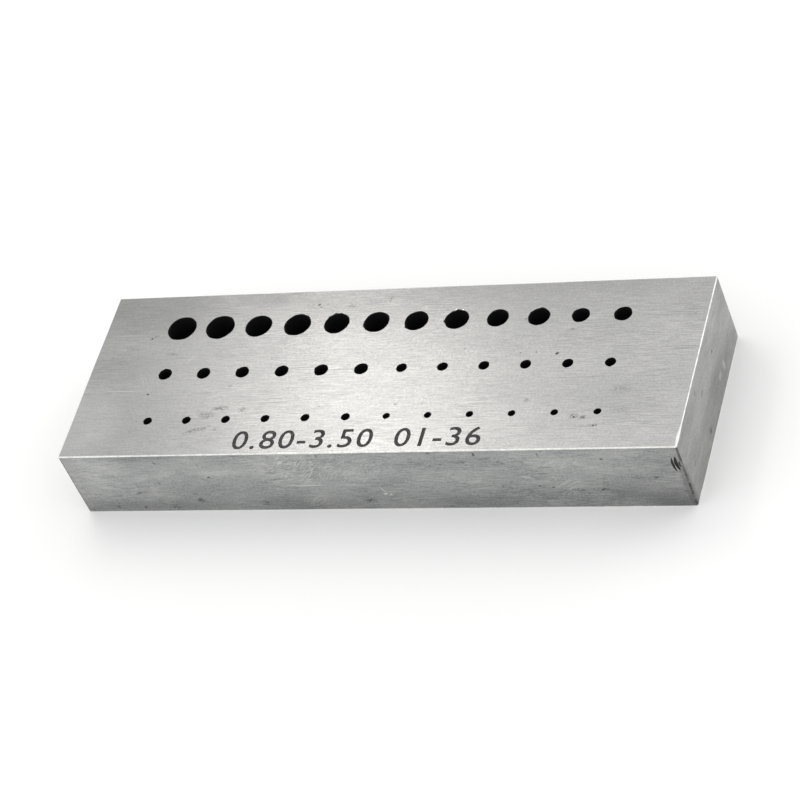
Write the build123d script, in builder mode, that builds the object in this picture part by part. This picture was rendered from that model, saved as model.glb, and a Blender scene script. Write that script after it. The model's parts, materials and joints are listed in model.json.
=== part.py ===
"""Wire jig block: one bar of hardened, ground steel with three rows of graded through holes.

Millimetres, +Z up. The origin is the middle of the underside. X runs along the bar, and
each row's holes get finer towards +X. The coarsest row is at the back, towards +Y.
"""
import os

from build123d import *

# The bar, ground on all six sides
block_length = 75.0
block_width = 25.0
block_height = 10.0
edge_break = 0.15  # the light bevel stoned along every edge

# The hole pattern, centred on the bar
holes_in_row = 12
hole_pitch = 5.0  # from hole to hole along a row
row_pitch = 7.2  # from row to row

# Drill diameters, from the left end of each row to the right
back_drill_1 = 3.5
back_drill_2 = 3.2
back_drill_3 = 3.0
back_drill_4 = 2.8
back_drill_5 = 2.5
back_drill_6 = 2.0
middle_drill_1 = 1.6
middle_drill_2 = 1.2
front_drill_1 = 1.0
front_drill_2 = 0.8


def drill_row(row_y, drills):
    """Drill one row straight through from the top. Each drill makes an equal run of its holes."""
    holes_in_run = holes_in_row // len(drills)
    run_pitch = holes_in_run * hole_pitch
    first_run_x = -run_pitch * (len(drills) - 1) / 2
    for number, diameter in enumerate(drills):
        with Locations((first_run_x + number * run_pitch, row_y, block_height)):
            with GridLocations(hole_pitch, 0, holes_in_run, 1):
                Hole(radius=diameter / 2)


with BuildPart() as jig_block:
    with BuildSketch(Plane.XY) as bar_outline:
        Rectangle(block_length, block_width)
    extrude(amount=block_height)
    chamfer(jig_block.edges(), length=edge_break)
    drill_row(
        row_pitch,
        (back_drill_1, back_drill_2, back_drill_3, back_drill_4, back_drill_5, back_drill_6),
    )
    drill_row(0, (middle_drill_1, middle_drill_2))
    drill_row(-row_pitch, (front_drill_1, front_drill_2))
jig_block.part.label = "jig_block"

os.makedirs("parts", exist_ok=True)
export_step(jig_block.part, "parts/jig_block.step")
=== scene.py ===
"""Looks of the wire jig block: one bar of hardened, ground tool steel with 36 graded holes.

Metres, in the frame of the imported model: X along the bar, +Z up, the origin in the middle
of the underside. Sizes and places on the bar are written in millimetres, times mm.
"""
import json

import bmesh
import bpy
import numpy as np
from mathutils import Matrix, Vector
from mathutils.geometry import delaunay_2d_cdt


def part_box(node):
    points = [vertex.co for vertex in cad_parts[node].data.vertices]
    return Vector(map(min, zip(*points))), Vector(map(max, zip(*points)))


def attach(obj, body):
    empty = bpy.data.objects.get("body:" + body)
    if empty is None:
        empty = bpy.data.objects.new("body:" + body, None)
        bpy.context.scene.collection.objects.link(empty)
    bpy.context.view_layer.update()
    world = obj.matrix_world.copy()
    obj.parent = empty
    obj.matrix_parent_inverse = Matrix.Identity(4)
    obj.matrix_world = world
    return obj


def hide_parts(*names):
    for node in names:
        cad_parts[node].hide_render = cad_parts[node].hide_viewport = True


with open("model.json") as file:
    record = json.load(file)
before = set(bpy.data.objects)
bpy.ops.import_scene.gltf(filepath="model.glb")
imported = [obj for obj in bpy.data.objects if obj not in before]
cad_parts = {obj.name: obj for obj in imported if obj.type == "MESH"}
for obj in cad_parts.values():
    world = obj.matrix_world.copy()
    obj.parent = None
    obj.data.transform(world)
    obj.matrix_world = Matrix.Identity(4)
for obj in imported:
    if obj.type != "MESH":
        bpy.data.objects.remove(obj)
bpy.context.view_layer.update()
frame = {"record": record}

mm = 0.001

# ---------------------------------------------------------------------------------------
# The bar: flat tool steel, hardened and then ground on all six sides. The edges round the
# top and the underside are broken by hand with a stone, so that their bright bevel is
# uneven and has nicks. Its light tone is partly the stone's polish and partly a painted
# highlight. The four upright edges are rounded, and painted dark grey as painted shade.
# ---------------------------------------------------------------------------------------
_, bar_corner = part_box("jig_block")
half_length = bar_corner.x
half_width = bar_corner.y
height = bar_corner.z
corner_radius = 0.20 * mm
corner_steps = 5
edge_break = 0.12 * mm
edge_unevenness = 0.25  # share of the bevel's width by which it wanders
edge_wave = 41  # points of the outline over which it does so
bevel_steps = 4
outline_step = 0.4 * mm
nick_count = 30
nick_width = 0.2 * mm
nick_depths = (0.05, 0.6)  # squared, a share of the bevel's width, so that most are shallow
corner_wear = 0.16 * mm  # what the bevel gains at the front of the right end
corner_wear_place = 1.4 * mm  # from the front
corner_wear_reach = 1.1 * mm
worn = np.random.default_rng(36)  # draws all that wear has left to chance

skin = []  # the bar's surfaces, as (points, faces, finish), to be welded into one skin


def bar_outline():
    """Points and outward normals round the bar, anticlockwise from above, from the right end on.

    Each corner is a quarter circle about a centre set in by the radius, and the straight
    stretches run from one to the next. The first point of each stretch and its steps follow.
    """
    points, normals, stretches = [], [], []
    middles = np.array([(1, 1), (-1, 1), (-1, -1), (1, -1)]) * (half_length, half_width)
    middles = middles - np.sign(middles) * corner_radius
    for quarter, middle in enumerate(middles):
        angle = (quarter + np.linspace(0, 1, corner_steps + 1)) * np.pi / 2
        out = np.stack([np.cos(angle), np.sin(angle)], axis=1)
        arc = middle + corner_radius * out
        reach = middles[(quarter + 1) % 4] - middle
        steps = round(np.linalg.norm(reach) / outline_step)
        along = np.linspace(0, 1, steps, endpoint=False)[1:, None]
        stretches.append((sum(map(len, points)) + corner_steps, steps))
        points += [arc, arc[-1] + along * reach]
        normals += [out, np.repeat(out[-1:], steps - 1, axis=0)]
    return np.concatenate(points), np.concatenate(normals), stretches


def wandering(count, reach):
    """Smooth noise round a closed loop, from -1 to 1: random numbers blurred over reach points."""
    noise = worn.uniform(-1, 1, count)
    around = np.concatenate([noise, noise[:reach]])
    blurred = np.convolve(around, np.hanning(reach), "same")[reach // 2 : reach // 2 + count]
    return blurred / np.abs(blurred).max()


outline, outward, stretches = bar_outline()
# How far along the outline each of its points lies
outline_run = np.cumsum(np.linalg.norm(outline - np.roll(outline, 1, axis=0), axis=1))


def bevel_width():
    """The bevel's width at each point of the outline: wandering, plus nicks like exp(-(s / w)^2).

    The worn stretch adds corner_wear exp(-(d / corner_wear_reach)^2) at distance d from it.
    """
    width = edge_break * (1 + edge_unevenness * wandering(len(outline), edge_wave))
    away = np.linalg.norm(outline - (half_length, corner_wear_place - half_width), axis=1)
    width = width + corner_wear * np.exp(-((away / corner_wear_reach) ** 2))
    places = worn.uniform(0, outline_run[-1], (nick_count, 1))
    depths = edge_break * worn.uniform(*nick_depths, (nick_count, 1)) ** 2
    return width + (depths * np.exp(-(((outline_run - places) / nick_width) ** 2))).sum(axis=0)


def bevel_rings(level, side):
    """Rings of a quarter-round bevel, from the bar's sides to the flat at that level.

    At angle a the ring is width (1 - cos a) inside the outline and width (1 - sin a) short
    of the flat. side is 1 for the top and -1 for the underside.
    """
    width = bevel_width()[:, None]
    rings = []
    for angle in np.linspace(0, np.pi / 2, bevel_steps + 1):
        inside = outline - outward * width * (1 - np.cos(angle))
        rings.append(np.hstack([inside, level - side * width * (1 - np.sin(angle))]))
    return rings


def ring_strip(first, second, finish, closed=True):
    """Add quads between two rings: points i and i + 1 of one and of the other."""
    count = len(first)
    i = np.arange(count if closed else count - 1)
    j = (i + 1) % count
    faces = np.stack([i, j, j + count, i + count], axis=1)
    skin.append((np.concatenate([first, second]), faces, finish))


top_rings = bevel_rings(height, 1)
under_rings = bevel_rings(0.0, -1)
for rings in (top_rings, under_rings):
    for outer, inner in zip(rings[:-1], rings[1:]):
        # The bevel's light tone is partly its polish and partly a painted highlight
        ring_strip(outer, inner, "stoned_edge_highlight")

# The back and the ends are plain ground flats. The front is cut into, further on.
for (start, steps), finish in zip(stretches, ("ground_side", "ground_end", None, "ground_end")):
    upright = np.arange(start - corner_steps, start + 1)
    # The upright edges are painted dark grey: painted shade
    ring_strip(under_rings[0][upright], top_rings[0][upright], "upright_edge_shade", False)
    if finish:
        flat = np.arange(start, start + steps + 1) % len(outline)
        ring_strip(under_rings[0][flat], top_rings[0][flat], finish, False)


def linear(hex_colour):
    """An sRGB hex colour as linear RGBA: ((c + 0.055) / 1.055) ^ 2.4, or c / 12.92 near black."""
    srgb = np.array([int(hex_colour[i : i + 2], 16) for i in (1, 3, 5)]) / 255
    rgb = np.where(srgb <= 0.04045, srgb / 12.92, ((srgb + 0.055) / 1.055) ** 2.4)
    return (*rgb, 1.0)


def add_node(tree, kind, sockets=None, **settings):
    """Add a node with its settings. A socket gets a value, an output, or a node's first output."""
    new = tree.nodes.new("ShaderNode" + kind)
    for setting, value in settings.items():
        setattr(new, setting, value)
    for socket, value in (sockets or {}).items():
        if isinstance(value, bpy.types.Node):
            value = next(output for output in value.outputs if output.enabled)
        if isinstance(value, bpy.types.NodeSocket):
            tree.links.new(value, new.inputs[socket])
        else:
            new.inputs[socket].default_value = value
    return new


def new_material(name):
    """A material without any nodes, and its node tree."""
    material = bpy.data.materials.new(name)
    material.use_nodes = True
    material.node_tree.nodes.clear()
    return material, material.node_tree


noise_middle = 0.5
noise_spread = 0.15  # most of what a noise gives lies within this of its middle
patch_gloss = 0.08  # how much smoother the bright patches are than the mean, and rougher the dull


def patchy_steel(name, dull, bright, patch, dullness, roughness, metallic=1.0, gloss=0.5):
    """Steel without grinding lines, in soft patches of two tones.

    patch is their size, and dullness how much of the steel has the dull tone, from 0 to 1.
    gloss is the shine of what isn't bare metal.
    """
    material, tree = new_material(name)
    place = add_node(tree, "TexCoord").outputs["Object"]
    patches = add_node(
        tree, "TexNoise", {"Vector": place, "Scale": 1 / patch, "Detail": 3.0, "Roughness": 0.6}
    )
    middle = noise_middle + noise_spread * (2 * dullness - 1)
    share = add_node(
        tree,
        "MapRange",
        {
            "Value": patches,
            "From Min": middle - noise_spread,
            "From Max": middle + noise_spread,
        },
    )
    colour = add_node(
        tree, "Mix", {"Factor": share, "A": linear(dull), "B": linear(bright)}, data_type="RGBA"
    )
    rough = add_node(
        tree,
        "MapRange",
        {
            "Value": share,
            "To Min": roughness + patch_gloss,
            "To Max": roughness - patch_gloss,
        },
    )
    shader = add_node(
        tree,
        "BsdfPrincipled",
        {
            "Base Color": colour,
            "Metallic": metallic,
            "Roughness": rough,
            "Specular IOR Level": gloss,
        },
    )
    add_node(tree, "OutputMaterial", {"Surface": shader})
    return material


# Stoned steel is the brightest of all: the stone polishes what it cuts, and its light tone
# is also a painted highlight along the bevel. The upright edges are painted dark grey as
# painted shade, lighter in soft patches.
finishes = {
    "stoned_edge_highlight": patchy_steel(
        "stoned_steel_and_highlight",
        dull="#d6d6d3",
        bright="#f0f0ec",
        patch=0.7 * mm,
        dullness=0.4,
        roughness=0.28,
    ),
    # Painted shade: the upright edges dark grey, lighter in soft patches
    "upright_edge_shade": patchy_steel(
        "upright_edge_painted_shade",
        dull="#363636",
        bright="#7c7d7c",
        patch=1.2 * mm,
        dullness=0.5,
        roughness=0.5,
        metallic=0.8,
    ),
}

# ---------------------------------------------------------------------------------------
# The holes: drilled straight through before hardening, and still black inside with the
# furnace's oxide, out to the rim's tiny chamfer. Here and there a burr has torn the rim.
# ---------------------------------------------------------------------------------------
rim_width = 0.03 * mm
rim_share = 0.035  # what the rim's chamfer gains with the hole's radius
rim_unevenness = 0.55  # share of the chamfer's width by which it wanders
rim_wave = 9  # points of the rim over which it does so
rim_steps = 64
burr_share = 0.4  # how many of the rims have a burr
burr_share_of_radius = 0.09  # its depth
burr_width = 0.22  # in radians round the rim
# Chips out of the top rims: number of the hole, direction in degrees, and depth
rim_chips = (
    (3, 205, 0.07 * mm),
    (5, 82, 0.10 * mm),
    (5, 108, 0.13 * mm),
    (5, 140, 0.08 * mm),
    (6, 200, 0.07 * mm),
    (7, 222, 0.12 * mm),
    (8, 100, 0.15 * mm),
    (8, 125, 0.09 * mm),
    (8, 188, 0.14 * mm),
    (10, 150, 0.06 * mm),
)
chip_width = 0.11  # in radians round the rim
holes = [
    (*mount["pos_m"][:2], mount["dims"]["r_mm"] * mm)
    for mount in frame["record"]["mounts"]
    if mount["kind"] == "bore"
]


def circle(x, y, radius):
    """Points at the middle plus radius (cos a, sin a). The radius may differ from point to point."""
    angle = np.arange(rim_steps) * 2 * np.pi / rim_steps
    return np.stack([x + radius * np.cos(angle), y + radius * np.sin(angle)], axis=1)


def notch(direction, depth, width):
    """What a tear in a rim adds to its radius: depth exp(-(a / width)^2) at angle a from it."""
    away = np.arange(rim_steps) * 2 * np.pi / rim_steps - direction
    away = (away + np.pi) % (2 * np.pi) - np.pi
    return depth * np.exp(-((away / width) ** 2))


def torn_rim(radius):
    """The rim's radius at each point: the bore's and a wandering chamfer, torn in some holes."""
    wave = wandering(rim_steps, rim_wave)
    out = (rim_width + rim_share * radius) * (1 + rim_unevenness * wave)
    burr = notch(worn.uniform(0, 2 * np.pi), burr_share_of_radius * radius, burr_width)
    return radius + out + burr * (worn.random() < burr_share)


def at_height(points, z):
    """Places (x, y), all at the height z."""
    return np.hstack([points, np.full((len(points), 1), z)])


top_rims, under_rims = [], []
for number, (x, y, radius) in enumerate(holes, start=1):
    chips = [
        notch(np.radians(direction), depth, chip_width)
        for chipped, direction, depth in rim_chips
        if chipped == number
    ]
    top_rims.append(circle(x, y, torn_rim(radius) + sum(chips)))
    under_rims.append(circle(x, y, torn_rim(radius)))
    wall = circle(x, y, radius)
    wall_top = at_height(wall, height - rim_width)
    wall_foot = at_height(wall, rim_width)
    ring_strip(at_height(top_rims[-1], height), wall_top, "hole_oxide")
    ring_strip(wall_top, wall_foot, "hole_oxide")
    ring_strip(wall_foot, at_height(under_rims[-1], 0.0), "hole_oxide")

# Furnace oxide is black and matt, and lets nothing of the wall show
finishes["hole_oxide"] = patchy_steel(
    "furnace_oxide",
    dull="#040405",
    bright="#0a0a0b",
    patch=0.8 * mm,
    dullness=0.5,
    roughness=0.75,
    metallic=0.0,
    gloss=0.3,
)

# ---------------------------------------------------------------------------------------
# The marking: plain numbers etched into the front margin of the top. They give the
# smallest and the largest hole in millimetres, and the first and the last hole.
# ---------------------------------------------------------------------------------------
marking_texts = (("0.80-3.50", -15.6 * mm), ("01-36", 4.35 * mm))
marking_foot = -11.7 * mm
figure_height = 2.78 * mm
figure_share = 0.729  # height of a figure as a share of the type size
figure_boldness = 0.007  # how far its strokes swell, as a share of the type size
figure_spacing = 1.12
figure_stretch = 1.08  # how much wider a figure is than the type's own
figure_curve_steps = 5
etch_depth = 0.03 * mm


def figures(text, left):
    """The text as a flat mesh on the top of the bar, from left on: its points and triangles."""
    curve = bpy.data.curves.new("figures", "FONT")
    curve.body = text
    curve.size = figure_height / figure_share
    curve.offset = figure_boldness * curve.size
    curve.space_character = figure_spacing
    curve.resolution_u = figure_curve_steps
    holder = bpy.data.objects.new("figures", curve)
    flat = bpy.data.meshes.new_from_object(holder)
    points = np.empty(len(flat.vertices) * 3)
    flat.vertices.foreach_get("co", points)
    points = points.reshape(-1, 3)[:, :2] * (figure_stretch, 1)
    flat.calc_loop_triangles()
    triangles = np.empty(len(flat.loop_triangles) * 3, dtype=int)
    flat.loop_triangles.foreach_get("vertices", triangles)
    bpy.data.objects.remove(holder)
    return points + (left - points[:, 0].min(), marking_foot), triangles.reshape(-1, 3)


def open_edges(triangles):
    """The edges that only one triangle has, in the direction in which it runs."""
    edges = np.concatenate([triangles[:, [0, 1]], triangles[:, [1, 2]], triangles[:, [2, 0]]])
    both_ways = np.sort(edges, axis=1)
    _, first, count = np.unique(both_ways, axis=0, return_index=True, return_counts=True)
    return edges[first[count == 1]]


figure_points, figure_triangles = np.empty((0, 2)), np.empty((0, 3), dtype=int)
for text, left in marking_texts:
    points, triangles = figures(text, left)
    figure_triangles = np.concatenate([figure_triangles, triangles + len(figure_points)])
    figure_points = np.concatenate([figure_points, points])
figure_edges = open_edges(figure_triangles)
figure_floor = at_height(figure_points, height - etch_depth)
skin.append((figure_floor, figure_triangles, "etched_figure"))
figure_walls = np.hstack([figure_edges, figure_edges[:, ::-1] + len(figure_points)])
wall_points = np.concatenate([at_height(figure_points, height), figure_floor])
skin.append((wall_points, figure_walls, "etched_figure"))

# Etching acid leaves the steel dark grey and matt
finishes["etched_figure"] = patchy_steel(
    "etched_steel",
    dull="#202021",
    bright="#3c3c3c",
    patch=0.35 * mm,
    dullness=0.5,
    roughness=0.6,
    metallic=0.2,
)

# ---------------------------------------------------------------------------------------
# Marks of use: short file cuts side by side near the right end of the front, and small
# pits where grit or scale was pressed into the steel. All of them hold dark dirt.
# ---------------------------------------------------------------------------------------
# Each cut on the front: middle (x, z), length, width, depth, and how far its top leans left
file_cuts = (
    (36.54 * mm, 7.10 * mm, 2.40 * mm, 0.30 * mm, 0.10 * mm, 0.05 * mm),
    (36.95 * mm, 7.25 * mm, 2.35 * mm, 0.42 * mm, 0.14 * mm, 0.05 * mm),
    (37.22 * mm, 7.15 * mm, 1.10 * mm, 0.17 * mm, 0.06 * mm, 0.00 * mm),
)
cut_bow = 0.06  # how far a cut bows to the left, as a share of its length
cut_taper = 0.6  # the lower, the blunter its ends
cut_steps = 24
# Each pit: its place, (x, y) on the top and (x, z) on the front, and its radius
top_pits = (
    (-28.8 * mm, -3.1 * mm, 0.11 * mm),
    (-31.0 * mm, 5.7 * mm, 0.10 * mm),
    (20.9 * mm, 1.5 * mm, 0.17 * mm),
    (22.0 * mm, 5.1 * mm, 0.08 * mm),
    (24.9 * mm, -7.9 * mm, 0.10 * mm),
    (25.8 * mm, -8.0 * mm, 0.08 * mm),
    (27.4 * mm, -9.2 * mm, 0.10 * mm),
    (-10.5 * mm, 10.3 * mm, 0.10 * mm),
    (-6.2 * mm, -5.6 * mm, 0.07 * mm),
    (16.5 * mm, 1.7 * mm, 0.08 * mm),
)
front_pits = (
    (-25.5 * mm, 8.6 * mm, 0.10 * mm),
    (-19.6 * mm, 6.0 * mm, 0.13 * mm),
    (-22.1 * mm, 2.0 * mm, 0.14 * mm),
    (14.0 * mm, 9.2 * mm, 0.12 * mm),
    (20.2 * mm, 3.8 * mm, 0.10 * mm),
    (21.7 * mm, 3.5 * mm, 0.11 * mm),
    (28.5 * mm, 8.2 * mm, 0.15 * mm),
    (34.0 * mm, 4.9 * mm, 0.11 * mm),
)
pit_steps = 14
pit_stretch = 1.3  # a pit is longer along the grinding than across it
pit_depth_share = 0.5  # depth as a share of the radius
pit_unevenness = 0.25  # share of the radius by which its rim wanders
pit_wave = 5  # points of the rim over which it does so
pit_floor_share = 0.5  # size of the rounded floor, as a share of the pit's
pit_wall_share = 0.8  # depth at which the floor starts, as a share of the pit's


def on_top(points, depth):
    """Places (x, y) of the top, at that depth under it."""
    return np.stack([points[:, 0], points[:, 1], height - depth * np.ones(len(points))], axis=1)


def on_front(points, depth):
    """Places (x, z) of the front, at that depth under it."""
    return np.stack([points[:, 0], depth * np.ones(len(points)) - half_width, points[:, 1]], axis=1)


def pit(u, v, radius, on_face):
    """A shallow cone with a rounded floor: its rim, a ring further in, and a middle point."""
    angle = np.arange(pit_steps) * 2 * np.pi / pit_steps
    uneven = radius * (1 + pit_unevenness * wandering(pit_steps, pit_wave))
    ray = np.stack([pit_stretch * uneven * np.cos(angle), uneven * np.sin(angle)], axis=1)
    rim = ray + (u, v)
    depth = pit_depth_share * radius
    ring = on_face(pit_floor_share * ray + (u, v), pit_wall_share * depth)
    ring_strip(on_face(rim, 0.0), ring, "pressed_pit")
    i = np.arange(pit_steps)
    fan = np.stack([i, (i + 1) % pit_steps, np.full(pit_steps, pit_steps)], axis=1)
    skin.append((np.concatenate([ring, on_face(np.array([[u, v]]), depth)]), fan, "pressed_pit"))
    return rim


def file_cut(x, z, length, width, depth, lean):
    """A groove pointed at both ends, width sin(pi t)^cut_taper wide at share t of its length.

    Its line bows to the left by cut_bow of its length, and its depth is depth sin(pi t).
    """
    t = np.linspace(0, 1, cut_steps)
    bow = cut_bow * length * np.sin(np.pi * t)
    line = np.stack([x - lean * (1 - 2 * t) - bow, z + length * (0.5 - t)], axis=1)
    reach = np.stack([width / 2 * np.sin(np.pi * t) ** cut_taper, 0 * t], axis=1)
    for side in (line - reach, line + reach):
        bottom = on_front(line, depth * np.sin(np.pi * t))
        ring_strip(on_front(side, 0.0), bottom, "dirty_cut", False)
    return np.concatenate([line - reach, (line + reach)[-2:0:-1]])


top_pit_rims = [pit(*spot, on_top) for spot in top_pits]
front_openings = [pit(*spot, on_front) for spot in front_pits]
front_openings += [file_cut(*cut) for cut in file_cuts]

# Old dirt packed into a cut is nearly black, and takes the shine off the steel. The
# shallow pits hold less of it.
finishes["dirty_cut"] = patchy_steel(
    "dirty_cut_steel",
    dull="#121212",
    bright="#2b2b2a",
    patch=0.3 * mm,
    dullness=0.5,
    roughness=0.7,
    metallic=0.2,
)
finishes["pressed_pit"] = patchy_steel(
    "pitted_steel",
    dull="#3f403f",
    bright="#7b7c7b",
    patch=0.2 * mm,
    dullness=0.5,
    roughness=0.5,
    metallic=0.8,
)

# ---------------------------------------------------------------------------------------
# The ground flats, each one plane between the bevel and what is cut out of it. The wheel
# ran along the bar and left fine lines, and handling has left smudges and light scratches.
# ---------------------------------------------------------------------------------------
net_kind = 1  # triangles, and only those inside the outermost outline
net_tolerance = 1e-6  # in millimetres


def fill_flat(rings, points=np.empty((0, 2)), edges=np.empty((0, 2), int)):
    """A flat in (u, v) as a constrained Delaunay net of its outline, its openings and more edges.

    A triangle stays where a ray from its middle along +u crosses them an odd number of times.
    """
    outlines = [(ring, np.roll(ring, -1, axis=0)) for ring in rings]
    outlines.append((points[edges[:, 0]], points[edges[:, 1]]))
    starts = np.concatenate([start for start, _ in outlines])
    ends = np.concatenate([end for _, end in outlines])
    corners, index = np.unique(np.concatenate([starts, ends]), axis=0, return_inverse=True)
    pairs = index.reshape(2, -1).T
    corners = [Vector(corner / mm) for corner in corners]
    net = delaunay_2d_cdt(corners, pairs.tolist(), [], net_kind, net_tolerance)
    net_points = np.array([tuple(point) for point in net[0]]) * mm
    faces = np.array(net[2])
    u, v = net_points[faces].mean(axis=1).T[..., None]
    crossings = np.zeros(len(faces), dtype=int)
    for start, end in outlines:
        (start_u, start_v), (end_u, end_v) = start.T, end.T
        spans = (start_v > v) != (end_v > v)
        with np.errstate(divide="ignore", invalid="ignore"):
            ahead = u < start_u + (end_u - start_u) * (v - start_v) / (end_v - start_v)
        crossings += (spans & ahead).sum(axis=1)
    return net_points, faces[crossings % 2 == 1]


points, faces = fill_flat(
    [top_rings[-1][:, :2], *top_rims, *top_pit_rims], figure_points, figure_edges
)
skin.append((on_top(points, 0.0), faces, "ground_top"))

points, faces = fill_flat([under_rings[-1][:, :2], *under_rims])
skin.append((at_height(points, 0.0), faces, "ground_top"))

start, steps = stretches[2]
front = np.arange(start, start + steps + 1)
front_edge = np.concatenate([under_rings[0][front], top_rings[0][front][::-1]])[:, [0, 2]]
points, faces = fill_flat([front_edge, *front_openings])
skin.append((on_front(points, 0.0), faces, "ground_side"))

# Marks on a face, in millimetres: middle (u, v), half sizes along and across, turn in degrees
# and strength. u and v are x and y on the top, x and z on the front, and y and z on the end.
# Stains are dark all over, and smudges are torn to pieces by the lay. The broad soft stains at
# the back of the top, along the foot and the right end of the front and at the front corner of
# the end are painted shade. Rubs are patches of short bright strokes. Scratches are bright all
# over, and a wide one is a place worn bright, but the widest on the top is a painted highlight
# and two specks at a hole's rim are painted glints.
top_stains_and_shade = (
    # The first four are painted shade: the top darker towards the back, most of all at the back
    # left. The next four are soft darker patches, and the rest are small dark specks and marks
    (0.0, 14.0, 60.0, 9.5, 0, 0.17),
    (-34.0, 13.0, 22.0, 10.0, 0, 0.24),
    (-17.0, 12.5, 9.0, 4.0, 0, 0.24),
    (37.0, 9.5, 7.0, 5.0, 0, 0.13),
    (-34.0, 1.0, 7.0, 3.5, 0, 0.09),
    (25.0, 4.5, 7.0, 3.5, 8, 0.07),
    (30.0, -6.0, 6.0, 3.0, 0, 0.07),
    (8.0, 4.0, 6.0, 1.2, 4, 0.04),
    (-30.6, 6.0, 0.6, 0.12, 32, 0.45),
    (-1.55, 10.75, 0.95, 0.11, 80, 0.55),
    (-12.0, 10.2, 0.32, 0.12, 40, 0.50),
    (-11.3, 10.3, 0.35, 0.12, 35, 0.50),
    (-10.6, 10.2, 0.40, 0.15, 40, 0.70),
    (-10.2, 9.9, 0.35, 0.13, 35, 0.60),
    (-9.5, 10.2, 0.35, 0.13, 30, 0.50),
    (-8.4, 9.9, 0.35, 0.12, 25, 0.45),
    (16.0, 6.9, 0.3, 0.2, 0, 0.40),
    (18.4, 1.8, 0.12, 0.4, 0, 0.30),
)
top_smudges = (
    (-20.2, -6.5, 1.3, 0.8, 0, 0.55),
    (-18.6, -5.5, 1.4, 0.5, 5, 0.65),
    (-15.8, -5.8, 0.8, 0.5, 0, 0.60),
    (-20.7, -8.7, 2.3, 0.35, 17, 0.60),
    (-18.4, -8.7, 0.5, 0.3, 0, 0.50),
    (-27.6, 3.1, 1.2, 0.25, -3, 0.50),
    (-33.0, 4.1, 1.3, 0.5, 0, 0.25),
    (-18.4, -2.1, 0.4, 0.3, 0, 0.45),
    (-24.3, 10.4, 1.6, 0.6, 0, 0.35),
    (-20.5, 10.7, 1.8, 0.5, 0, 0.40),
    (-6.3, 9.9, 0.8, 0.4, 0, 0.55),
    (3.0, 10.3, 1.0, 0.3, 0, 0.45),
    (8.2, 10.5, 1.3, 0.25, 5, 0.30),
    (22.0, 5.1, 0.7, 0.3, 0, 0.45),
    (24.9, -7.8, 0.7, 0.45, 0, 0.75),
    (25.9, -8.0, 0.8, 0.4, 0, 0.75),
    (27.4, -9.2, 0.7, 0.3, 0, 0.75),
    (18.8, -5.4, 0.6, 0.4, 0, 0.40),
    (29.6, -4.1, 1.8, 0.9, 0, 0.35),
    (29.9, -7.0, 2.2, 1.0, 0, 0.30),
    (35.5, 7.0, 1.2, 0.7, 0, 0.30),
)
top_rubs = ((-25.0, 2.4, 1.0, 0.7, 0, 0.15),)
top_scratches_and_highlights = (
    # A painted highlight: the top lighter at the front of its left end
    (-37.0, -8.0, 8.0, 8.0, 0, 0.15),
    (-34.3, 6.3, 3.2, 0.12, 0, 0.14),
    (-24.9, 2.3, 0.7, 0.1, 55, 0.22),
    (-30.2, -0.9, 1.0, 0.1, -55, 0.14),
    (-32.6, -2.5, 3.6, 0.1, -2, 0.22),
    (-33.9, -4.7, 0.2, 0.2, 0, 0.30),
    # Two painted glints at the rim of a hole
    (7.1, 8.73, 0.20, 0.13, 0, 0.95),
    (7.9, 8.68, 0.16, 0.11, 0, 0.95),
)
front_stains_and_shade = (
    # The first seven and the tenth are painted shade: the front darker towards its right end, along
    # its foot and in a strip at its right corner. The eighth, ninth and eleventh darken the left
    # end, a strip under the top edge at the left and a faint patch. The rest are small dark specks
    (38.0, 5.0, 9.0, 9.0, 0, 0.20),
    (36.5, 1.6, 7.0, 3.6, 0, 0.28),
    (31.5, 3.2, 8.0, 3.0, 0, 0.22),
    (22.0, 3.0, 10.0, 1.8, 0, 0.12),
    (13.0, 1.2, 9.0, 1.6, 0, 0.12),
    (-9.0, 1.2, 9.0, 1.8, 0, 0.10),
    (-29.0, 1.2, 8.0, 1.1, 0, 0.12),
    (-37.5, 5.0, 3.0, 9.0, 0, 0.16),
    (-28.0, 9.6, 9.0, 0.8, 0, 0.12),
    (37.3, 3.0, 1.0, 8.0, 0, 0.45),
    (9.0, 8.3, 5.0, 2.2, 0, 0.07),
    (-25.6, 8.8, 0.15, 0.35, 0, 0.40),
    (-20.2, 8.2, 0.2, 0.35, 20, 0.35),
    (-29.7, 0.8, 0.3, 0.3, 0, 0.60),
    (-33.2, 0.9, 0.4, 0.25, 0, 0.40),
    (-4.9, 9.5, 0.25, 0.2, 0, 0.60),
    (-8.5, 9.5, 0.35, 0.15, 0, 0.50),
    (-2.8, 8.85, 0.25, 0.15, 0, 0.40),
    (8.7, 9.6, 0.25, 0.2, 0, 0.60),
    (9.25, 8.7, 0.15, 0.6, 10, 0.40),
    (8.3, 7.5, 0.3, 0.15, -40, 0.50),
    (9.6, 7.7, 0.4, 0.12, 5, 0.45),
    (14.0, 9.3, 0.18, 0.4, 0, 0.70),
    (21.4, 9.1, 0.18, 0.5, 0, 0.50),
    (21.9, 6.95, 1.6, 0.12, -2, 0.50),
    (13.1, 3.7, 2.2, 0.12, 6, 0.30),
    (25.0, 2.95, 0.5, 0.15, 0, 0.60),
    (28.0, 3.1, 0.7, 0.15, 0, 0.55),
    (36.7, 2.6, 0.3, 0.3, 0, 0.50),
)
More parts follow.
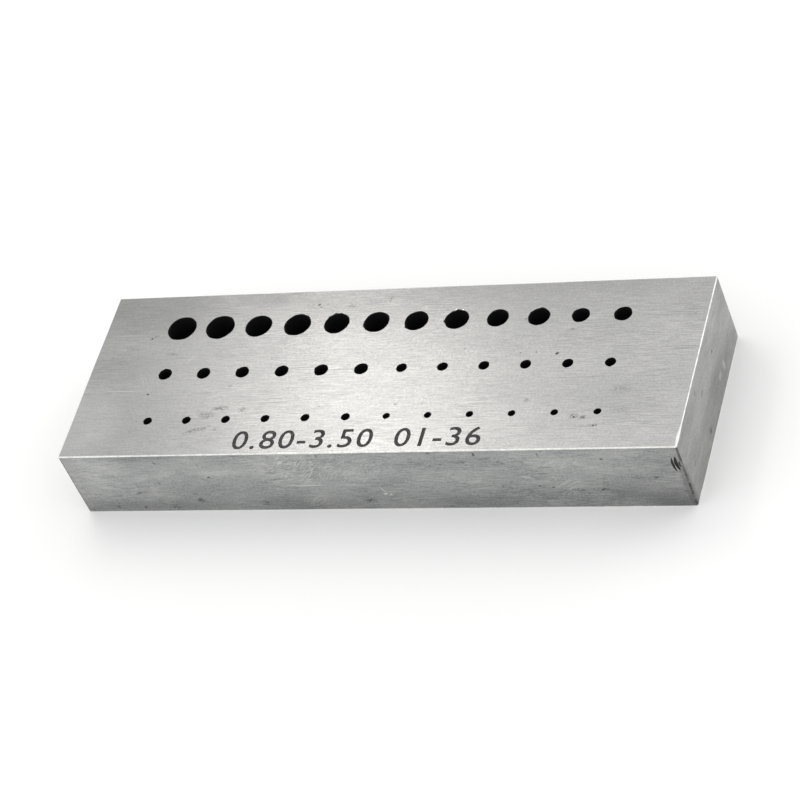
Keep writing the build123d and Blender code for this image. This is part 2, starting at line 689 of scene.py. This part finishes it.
front_smudges = (
    (-29.4, 3.4, 1.3, 0.18, 25, 0.60),
    (-26.3, 5.0, 1.0, 0.2, 5, 0.55),
    (-28.1, 4.5, 0.4, 0.3, 0, 0.35),
    (-29.1, 9.3, 2.2, 0.4, 0, 0.40),
    (-25.4, 9.6, 1.6, 0.3, 0, 0.50),
    (-22.1, 1.9, 0.6, 0.7, 0, 0.75),
    (-22.4, 3.1, 0.5, 0.4, 0, 0.45),
    (-25.8, 0.7, 0.8, 0.4, 0, 0.60),
    (-14.0, 1.3, 1.0, 0.7, 0, 0.55),
    (-0.9, 1.6, 1.1, 0.45, 10, 0.70),
    (12.0, 8.0, 1.0, 0.35, 0, 0.50),
    (15.1, 8.5, 1.0, 0.3, 10, 0.50),
    (16.8, 7.8, 0.6, 0.35, -40, 0.45),
    (17.9, 7.1, 0.9, 0.2, 0, 0.50),
    (19.4, 7.6, 0.7, 0.4, -30, 0.40),
    (24.4, 8.5, 0.5, 0.3, 0, 0.50),
    (24.4, 3.0, 1.4, 0.4, 0, 0.80),
    (27.2, 3.1, 1.5, 0.35, 0, 0.80),
    (28.0, 4.3, 0.6, 1.2, 0, 0.50),
    (31.9, 5.0, 1.4, 0.6, 0, 0.50),
    (33.9, 4.9, 0.6, 0.35, 0, 0.60),
)
front_rubs = (
    (-8.0, 7.4, 8.5, 3.6, 0, 0.50),
    (-1.0, 6.8, 6.0, 3.6, 0, 0.30),
    (-7.0, 1.8, 3.0, 1.2, 0, 0.30),
    (23.5, 3.7, 2.4, 2.2, 0, 0.36),
    (23.4, 7.3, 3.8, 1.8, 0, 0.35),
    (-31.5, 4.5, 4.5, 2.6, 0, 0.20),
)
front_scratches = (
    (-29.0, 5.8, 3.6, 0.8, 14, 0.20),
    (-25.0, 6.7, 2.6, 0.7, 15, 0.22),
    (-17.0, 6.75, 6.5, 0.7, 1, 0.22),
    (-33.6, 5.0, 0.8, 2.6, 10, 0.12),
    (5.0, 6.4, 9.0, 0.9, -1, 0.07),
    (-7.9, 4.35, 3.6, 0.14, 1, 0.65),
    (-2.0, 4.35, 3.2, 0.11, -1, 0.50),
    (-9.0, 5.2, 3.2, 0.08, 1, 0.20),
    (1.3, 3.4, 1.0, 0.12, -63, 0.60),
    (1.35, 2.7, 0.35, 0.2, 0, 0.95),
    (2.0, 2.6, 0.25, 0.16, 0, 0.85),
    (3.6, 7.0, 1.9, 0.07, -65, 0.25),
    (18.9, 5.35, 0.7, 0.16, -15, 0.50),
    (12.8, 3.4, 2.2, 0.09, 6, 0.30),
    (27.6, 2.2, 1.4, 0.12, 0, 0.30),
)
end_stains_and_shade = (
    # The fourth is painted shade, a dark strip along the corner with the front. The first three are
    # soft darker patches, and the rest are small dark specks
    (12.0, 7.5, 3.0, 4.0, 0, 0.12),
    (-9.0, 5.5, 4.0, 2.0, 0, 0.06),
    (11.0, 1.7, 1.6, 1.4, 0, 0.15),
    (-12.3, 2.0, 0.8, 7.0, 0, 0.35),
    (4.2, 6.6, 0.40, 0.30, 0, 0.65),
    (-3.0, 1.4, 0.50, 0.35, 0, 0.50),
    (-3.65, 8.6, 0.40, 0.30, 0, 0.50),
    (-1.85, 6.5, 0.70, 0.30, 0, 0.45),
    (-9.5, 3.7, 0.45, 0.30, 0, 0.40),
)
end_smudges = (
    (-3.8, 8.5, 0.6, 0.3, 0, 0.60),
    (-2.0, 6.5, 0.6, 0.5, 0, 0.50),
    (-3.0, 1.5, 0.9, 0.6, 0, 0.60),
    (1.0, 4.0, 3.0, 1.2, 0, 0.25),
)
end_rubs = ((-8.5, 5.0, 3.5, 3.0, 0, 0.15),)
end_scratches = (
    (6.1, 2.2, 0.6, 1.0, 0, 0.45),
    (4.2, 2.5, 0.9, 0.6, 0, 0.40),
    (-4.6, 0.8, 1.2, 0.4, 0, 0.20),
    (-10.3, 6.3, 1.8, 0.3, 0, 0.10),
)
mark_softness = 0.7  # how far in from its outline a mark has its full strength


def marks_on(tree, place, axis, level, marks):
    """The strongest mark at each point of a face that lies across axis, at that level.

    Each mark is an ellipse. Its strength rises by a smooth step from 0 at its outline.
    """
    total = 0.0
    for u, v, along, across, turn, strength in marks:
        # A turn about Y runs from Z to X, so on the front it is taken the other way round
        turned = np.insert([0.0, 0.0], axis, np.radians(-turn if axis == 1 else turn))
        seen = add_node(
            tree,
            "Mapping",
            {
                "Vector": place,
                "Location": np.insert([u * mm, v * mm], axis, level),
                "Rotation": turned,
                "Scale": np.insert([along * mm, across * mm], axis, 1 * mm),
            },
            vector_type="TEXTURE",
        )
        ball = add_node(tree, "TexGradient", {"Vector": seen}, gradient_type="SPHERICAL")
        soft = add_node(
            tree,
            "MapRange",
            {"Value": ball, "From Max": mark_softness, "To Max": strength},
            interpolation_type="SMOOTHSTEP",
        )
        total = add_node(tree, "Math", {0: soft, 1: total}, operation="MAXIMUM")
    return total


# A real lay is some 0.05 mm from line to line. Here it is drawn 0.16 mm, wide enough to show,
# and the grit between its lines 0.2 mm.
lay_step = 0.16 * mm
grit_size = 0.2 * mm
cloud_length = 1.6  # along the lay, times the size of the clouds
cloud_width = 0.6
stray_size = 4 * mm  # the reach of a bend in the lines
dressed_size = 7 * mm  # the reach of a place where the wheel cut more freely
dressed_swing = 0.4  # how much the lines' strength changes there
tone_span = (0.25, 0.75)  # of the lay, from the dull to the bright tone


def ground_lay(tree, place, bent, line, shares, clouds):
    """The strength of the lines, and the tone of the lay.

    The lines, the grit between them and the clouds are each a noise. The tone is the middle of
    the noise, plus how far each of the three swings away from it, times its share.
    """
    lay = add_node(tree, "Mapping", {"Vector": bent, "Scale": line}, vector_type="TEXTURE")
    lines = add_node(
        tree, "TexNoise", {"Vector": lay, "Scale": 1.0, "Detail": 3.0, "Roughness": 0.6}
    )
    grit = add_node(tree, "TexNoise", {"Vector": bent, "Scale": 1 / grit_size, "Detail": 2.0})
    cloud_reach = np.where(np.array(line) > lay_step, cloud_length, cloud_width) * clouds
    drawn_out = add_node(
        tree, "Mapping", {"Vector": place, "Scale": cloud_reach}, vector_type="TEXTURE"
    )
    patches = add_node(
        tree, "TexNoise", {"Vector": drawn_out, "Scale": 1.0, "Detail": 3.0, "Roughness": 0.5}
    )
    dressed = add_node(
        tree, "TexNoise", {"Vector": place, "Scale": 1 / dressed_size, "Detail": 1.0}
    )
    line_share, grit_share, cloud_share = shares
    strength = add_node(
        tree,
        "MapRange",
        {
            "Value": dressed,
            "From Min": noise_middle - noise_spread,
            "From Max": noise_middle + noise_spread,
            "To Min": line_share * (1 - dressed_swing),
            "To Max": line_share * (1 + dressed_swing),
        },
    )
    tone = noise_middle
    for pattern, share in ((lines, strength), (grit, grit_share), (patches, cloud_share)):
        swing = add_node(tree, "Math", {0: pattern, 1: noise_middle}, operation="SUBTRACT")
        tone = add_node(tree, "Math", {0: swing, 1: share, 2: tone}, operation="MULTIPLY_ADD")
    return strength, tone


deep_line_stretch = 2.5  # how much longer than the others a deep line is
deep_line_density = 0.8  # how close the deep lines lie, against the others
deep_line_span = (0.64, 0.80)  # of the noise, from no deep line to a full one
deep_line_dirt = 0.22
tear_size = 0.28 * mm
tear_span = (0.44, 0.58)  # of the noise, from a tear to a whole smudge
speck_cell = Vector((3.2, 2.4, 2.4)) * mm  # each may hold one speck of dirt
speck_share = 0.4  # how many do
speck_radius = 0.07  # the largest, as a share of the cell
speck_edge = 0.03  # how wide its soft edge is, as such a share
speck_dirt = 0.5


def dirt_and_shade_on(tree, place, bent, line, strength, face, stains_and_shade, smudges, shade_bands):
    """How much grime and painted shade darken each point of a face, from 0 to 1.

    It is the most of what deep lines, specks, smudges, stain marks and painted shade give, plus
    the painted shade of the levels along Z.
    """
    reach = np.where(np.array(line) > lay_step, deep_line_stretch, 1.0) * line
    sparse = add_node(tree, "Mapping", {"Vector": bent, "Scale": reach}, vector_type="TEXTURE")
    deep = add_node(
        tree, "TexNoise", {"Vector": sparse, "Scale": deep_line_density, "Detail": 1.0}
    )
    deep = add_node(
        tree,
        "MapRange",
        {"Value": deep, "From Min": deep_line_span[0], "From Max": deep_line_span[1]},
    )
    deep = add_node(tree, "Math", {0: deep, 1: strength}, operation="MULTIPLY")
    deep = add_node(tree, "Math", {0: deep, 1: deep_line_dirt}, operation="MULTIPLY")

    # Each cell has a random colour. Its red says whether there is a speck, and of what radius
    cells = add_node(
        tree, "Mapping", {"Vector": place, "Scale": speck_cell}, vector_type="TEXTURE"
    )
    specks = add_node(tree, "TexVoronoi", {"Vector": cells, "Scale": 1.0})
    red = add_node(tree, "SeparateColor", {"Color": specks.outputs["Color"]})
    radius = add_node(
        tree,
        "MapRange",
        {"Value": red, "From Min": 1 - speck_share, "From Max": 1.0, "To Max": speck_radius},
    )
    speck = add_node(tree, "Math", {0: radius, 1: specks}, operation="SUBTRACT")
    speck = add_node(
        tree, "MapRange", {"Value": speck, "From Max": speck_edge, "To Max": speck_dirt}
    )

    torn = add_node(
        tree,
        "TexNoise",
        {"Vector": bent, "Scale": 1 / tear_size, "Detail": 3.0, "Roughness": 0.75},
    )
    torn = add_node(
        tree, "MapRange", {"Value": torn, "From Min": tear_span[0], "From Max": tear_span[1]}
    )
    smudge = marks_on(tree, place, *face, smudges)
    dirt_and_shade = add_node(tree, "Math", {0: smudge, 1: torn}, operation="MULTIPLY")
    for layer in (deep, speck, marks_on(tree, place, *face, stains_and_shade)):
        dirt_and_shade = add_node(tree, "Math", {0: dirt_and_shade, 1: layer}, operation="MAXIMUM")

    upward = add_node(tree, "SeparateXYZ", {"Vector": place}).outputs["Z"]
    # These levels add painted shade, darker towards the foot of a face or just under its top edge
    for unshaded_level, darkest_level, most in shade_bands:
        band = add_node(
            tree,
            "MapRange",
            {"Value": upward, "From Min": unshaded_level, "From Max": darkest_level, "To Max": most},
            interpolation_type="SMOOTHSTEP",
        )
        dirt_and_shade = add_node(tree, "Math", {0: dirt_and_shade, 1: band}, operation="ADD")
    return dirt_and_shade


rub_turn = np.radians(-35)
rub_swirl = 3 * mm
stroke_length = 0.9 * mm
stroke_width = 0.15 * mm
stroke_span = (0.50, 0.64)  # of the noise, from no stroke to a full one


def brightness_on(tree, place, stray, face, rubs, scratches_and_highlights):
    """How far each point of a face is laid bare to bright steel or painted with a highlight,
    from 0 to 1.

    It is the most of what scratch marks, painted highlights and rubs give. A rub is a patch of
    short strokes that swirl across the lay.
    """
    swirl = (rub_swirl, rub_swirl, rub_swirl)
    swirled = add_node(
        tree, "VectorMath", {0: stray, 1: swirl, 2: place}, operation="MULTIPLY_ADD"
    )
    stroke_place = add_node(
        tree,
        "Mapping",
        {
            "Vector": swirled,
            "Rotation": np.insert([0.0, 0.0], face[0], rub_turn),
            "Scale": np.insert([stroke_length, stroke_width], face[0], 1 * mm),
        },
        vector_type="TEXTURE",
    )
    strokes = add_node(tree, "TexNoise", {"Vector": stroke_place, "Scale": 1.0, "Detail": 1.0})
    strokes = add_node(
        tree,
        "MapRange",
        {"Value": strokes, "From Min": stroke_span[0], "From Max": stroke_span[1]},
    )
    rub = marks_on(tree, place, *face, rubs)
    rub = add_node(tree, "Math", {0: rub, 1: strokes}, operation="MULTIPLY")
    scratch = marks_on(tree, place, *face, scratches_and_highlights)
    return add_node(tree, "Math", {0: scratch, 1: rub}, operation="MAXIMUM")


dirt_and_shade_colour = "#2b2b2a"
bared_and_highlight_colour = "#dcdcda"
lay_gloss = 0.01  # how much smoother the bright lines are than the mean, and rougher the dull


def ground_steel(name, tones, line, bend, shares, clouds, relief, roughness, face, marks, shade_bands):
    """Hardened tool steel off a surface grinder: a fine parallel lay of lines with cloudy patches.

    tones are the dull and the bright tone. line is how far a line of the lay reaches along X,
    Y and Z, and bend how far it strays. shares are those of the lines, the grit between them
    and the clouds in the tone, clouds is the size of these, and relief the depth of the lay.
    face is the axis that the face lies across, and its level. marks are its stain marks and
    painted shade, smudges, rubs, and scratch marks and painted highlights. The bands of the
    last argument are levels along Z between which painted shade builds up to a strength.
    """
    stains_and_shade, smudges, rubs, scratches_and_highlights = marks
    material, tree = new_material(name)
    place = add_node(tree, "TexCoord").outputs["Object"]
    stray = add_node(
        tree, "TexNoise", {"Vector": place, "Scale": 1 / stray_size, "Detail": 1.0}
    ).outputs["Color"]
    bent = add_node(
        tree, "VectorMath", {0: stray, 1: (bend, bend, bend), 2: place}, operation="MULTIPLY_ADD"
    )
    strength, tone = ground_lay(tree, place, bent, line, shares, clouds)
    spread = add_node(
        tree, "MapRange", {"Value": tone, "From Min": tone_span[0], "From Max": tone_span[1]}
    )
    dirt_and_shade = dirt_and_shade_on(tree, place, bent, line, strength, face, stains_and_shade, smudges, shade_bands)
    bared_and_highlight = brightness_on(tree, place, stray, face, rubs, scratches_and_highlights)
    colour = linear(tones[0])
    # Dark grime and painted shade, then bright scratch marks and painted highlights, are mixed into
    # the tone
    for share, other in ((spread, tones[1]), (dirt_and_shade, dirt_and_shade_colour), (bared_and_highlight, bared_and_highlight_colour)):
        colour = add_node(
            tree, "Mix", {"Factor": share, "A": colour, "B": linear(other)}, data_type="RGBA"
        )
    rough = add_node(
        tree,
        "MapRange",
        {"Value": spread, "To Min": roughness + lay_gloss, "To Max": roughness - lay_gloss},
    )
    grooves = add_node(tree, "Bump", {"Height": tone, "Strength": 1.0, "Distance": relief})
    shader = add_node(
        tree,
        "BsdfPrincipled",
        {"Base Color": colour, "Metallic": 1.0, "Roughness": rough, "Normal": grooves},
    )
    add_node(tree, "OutputMaterial", {"Surface": shader})
    return material


# Ground steel has a satin shine, broken up along the lay. The top was ground last and finest,
# so its reflections are the clearest. The sides and the ends are duller, and painted shade
# darkens them towards their foot. The underside is finished as the top is.
finishes["ground_top"] = ground_steel(
    "ground_steel_top",
    tones=("#88898a", "#a5a5a4"),
    line=(2.5 * mm, lay_step, lay_step),
    bend=0.15 * mm,
    shares=(0.8, 0.6, 0.3),
    clouds=7 * mm,
    relief=0.0015 * mm,
    roughness=0.25,
    face=(2, height),
    marks=(top_stains_and_shade, top_smudges, top_rubs, top_scratches_and_highlights),
    shade_bands=(),
)
finishes["ground_side"] = ground_steel(
    "ground_steel_side",
    tones=("#8e9091", "#babbb9"),
    line=(2.0 * mm, lay_step, lay_step),
    bend=0.9 * mm,
    shares=(0.9, 0.75, 0.6),
    clouds=5 * mm,
    relief=0.004 * mm,
    roughness=0.4,
    face=(1, -half_width),
    marks=(front_stains_and_shade, front_smudges, front_rubs, front_scratches),
    # Painted shade: darker towards the foot, and in a thin strip just under the top edge
    shade_bands=((4.2 * mm, 1.2 * mm, 0.14), (9.2 * mm, 9.8 * mm, 0.08)),
)
finishes["ground_end"] = ground_steel(
    "ground_steel_end",
    tones=("#919291", "#b9b9b7"),
    line=(lay_step, 2.2 * mm, lay_step),
    bend=0.5 * mm,
    shares=(0.9, 0.7, 0.75),
    clouds=5 * mm,
    relief=0.004 * mm,
    roughness=0.4,
    face=(0, half_length),
    marks=(end_stains_and_shade, end_smudges, end_rubs, end_scratches),
    # Painted shade: darker towards the foot
    shade_bands=((5.5 * mm, 1.0 * mm, 0.16),),
)


weld_gap = 0.0002 * mm
smooth_angle = np.radians(32)  # the facets of what is round turn by less than this


def weld(name):
    """Join the bar's surfaces into one closed skin, with a material slot for each finish."""
    slots = list(finishes)
    starts = np.cumsum([0] + [len(points) for points, _, _ in skin])
    faces = [
        face for (_, own, _), start in zip(skin, starts) for face in (own + start).tolist()
    ]
    face_counts = [len(own) for _, own, _ in skin]
    finish_of = np.repeat([slots.index(finish) for *_, finish in skin], face_counts)
    rounded = [slots.index(finish) for finish in ("stoned_edge_highlight", "upright_edge_shade", "hole_oxide")]
    mesh = bpy.data.meshes.new(name)
    mesh.from_pydata(np.concatenate([points for points, _, _ in skin]), [], faces)
    mesh.polygons.foreach_set("material_index", finish_of)
    whole = bmesh.new()
    whole.from_mesh(mesh)
    bmesh.ops.remove_doubles(whole, verts=whole.verts, dist=weld_gap)
    bmesh.ops.recalc_face_normals(whole, faces=whole.faces)
    whole.to_mesh(mesh)
    whole.free()
    mesh.set_sharp_from_angle(angle=smooth_angle)
    finish_of = np.empty(len(mesh.polygons), dtype=np.int32)
    mesh.polygons.foreach_get("material_index", finish_of)
    mesh.polygons.foreach_set("use_smooth", np.isin(finish_of, rounded))
    for finish in slots:
        mesh.materials.append(finishes[finish])
    piece = bpy.data.objects.new(name, mesh)
    bpy.context.scene.collection.objects.link(piece)
    return piece


block = weld("ground_block")
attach(block, "root")
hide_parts("jig_block")

# ---------------------------------------------------------------------------------------
# The floor: a plain white sheet, which keeps the block's shadow.
# ---------------------------------------------------------------------------------------
floor_half_width = 3.0
floor_gap = 0.01 * mm  # under the block, so that the two never share a plane
floor_corners = np.array([(-1, -1, 0), (1, -1, 0), (1, 1, 0), (-1, 1, 0)]) * floor_half_width
floor_mesh = bpy.data.meshes.new("floor")
floor_mesh.from_pydata(floor_corners, [], [(0, 1, 2, 3)])
white_sheet, tree = new_material("white_paper_sheet")
matt = add_node(tree, "BsdfDiffuse", {"Color": linear("#fafafa")})
add_node(tree, "OutputMaterial", {"Surface": matt})
floor_mesh.materials.append(white_sheet)
floor = bpy.data.objects.new("floor", floor_mesh)
floor.location.z = -floor_gap
bpy.context.scene.collection.objects.link(floor)

# ---------------------------------------------------------------------------------------
# The studio: a plain white room and four soft lamps. The reflection of the strip lamp, behind
# the block, is the bright band across the top. The fill lamp stands behind it too. Of the
# edge lamps, one behind the right end and one in front light up the bevels.
# ---------------------------------------------------------------------------------------
world = bpy.data.worlds.new("white_room")
bpy.context.scene.world = world
world.use_nodes = True
world.node_tree.nodes.clear()
room = add_node(world.node_tree, "Background", {"Color": linear("#ffffff"), "Strength": 1.0})
add_node(world.node_tree, "OutputWorld", {"Surface": room})


def soft_lamp(name, leftward, lift, distance, width, length, power, colour="#ffffff"):
    """A lamp aimed at the block. leftward is the share of its direction along -X.

    lift is how high it stands, in degrees up from behind, in the plane across the block. Its
    length runs up that plane, so that its reflection on the top is a band across the block.
    """
    angle = np.radians(lift)
    inward = np.sqrt(1 - leftward**2)
    direction = Vector((-leftward, inward * np.cos(angle), inward * np.sin(angle)))
    upward = Vector((0, -np.sin(angle), np.cos(angle)))
    turned = Matrix((upward.cross(direction), upward, direction)).transposed()
    lamp = bpy.data.lights.new(name, "AREA")
    lamp.shape = "RECTANGLE"
    lamp.size, lamp.size_y = width, length
    lamp.energy = power
    lamp.color = linear(colour)[:3]
    holder = bpy.data.objects.new(name, lamp)
    holder.matrix_world = Matrix.Translation(direction * distance) @ turned.to_4x4()
    bpy.context.scene.collection.objects.link(holder)


soft_lamp(
    "strip_lamp",
    leftward=0.396,
    lift=62,
    distance=0.40,
    width=0.03,
    length=0.20,
    power=0.114,
    colour="#fffcf6",
)
soft_lamp(
    "fill_lamp",
    leftward=0.12,
    lift=55,
    distance=0.60,
    width=0.25,
    length=0.30,
    power=0.163,
    colour="#fffcf6",
)
soft_lamp(
    "end_edge_lamp",
    leftward=-0.69,
    lift=32,
    distance=0.50,
    width=0.25,
    length=0.25,
    power=0.14,
)
soft_lamp(
    "front_edge_lamp",
    leftward=0.39,
    lift=138,
    distance=0.50,
    width=0.25,
    length=0.25,
    power=0.045,
)

# ---------------------------------------------------------------------------------------
# The camera, placed and tilted as the photograph's was.
# ---------------------------------------------------------------------------------------
camera_place = Vector((141.13, -221.92, 255.93)) * mm
camera_aim = Vector((3.571, -4.883, 10.0)) * mm
camera_tilt = np.radians(-25.03)
camera = bpy.data.cameras.new("camera")
camera.sensor_width = 36
camera.lens = 142.53
camera.clip_start = 0.01
camera.clip_end = 20
holder = bpy.data.objects.new("camera", camera)
upright_view = (camera_aim - camera_place).to_track_quat("-Z", "Y").to_matrix().to_4x4()
tilt = Matrix.Rotation(camera_tilt, 4, "Z")
holder.matrix_world = Matrix.Translation(camera_place) @ upright_view @ tilt
bpy.context.scene.collection.objects.link(holder)
bpy.context.scene.camera = holder
bpy.context.scene.view_settings.view_transform = "Standard"
